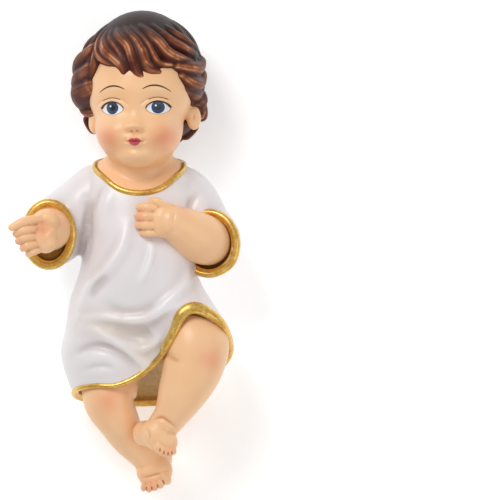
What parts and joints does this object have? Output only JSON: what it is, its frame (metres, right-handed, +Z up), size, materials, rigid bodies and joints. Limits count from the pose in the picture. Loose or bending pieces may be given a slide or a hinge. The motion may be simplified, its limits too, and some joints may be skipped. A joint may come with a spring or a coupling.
{
  "type": "baby jesus figurine",
  "caption": "Lying infant figurine in a short-sleeved robe, one arm held out and the other on the chest, knee raised, cast in one piece.",
  "frame": {"origin": "under the middle of the figure, on the surface that its back lies on", "axes": "+Z up, away from the surface that it lies on; +Y along the body towards the head; +X towards the figure's own left hand"},
  "size_m": [0.0964, 0.2034, 0.065],
  "materials": {
    "robe": "pearl white paint on cast resin",
    "skin": "satin flesh paint on cast resin, blushed on cheeks and knees",
    "hair": "dark brown paint, brushed over with copper brown",
    "gold": "metallic gold paint on cast resin"
  },
  "bodies": {
    "root": {"figurine": "robe"}
  },
  "joints": []
}
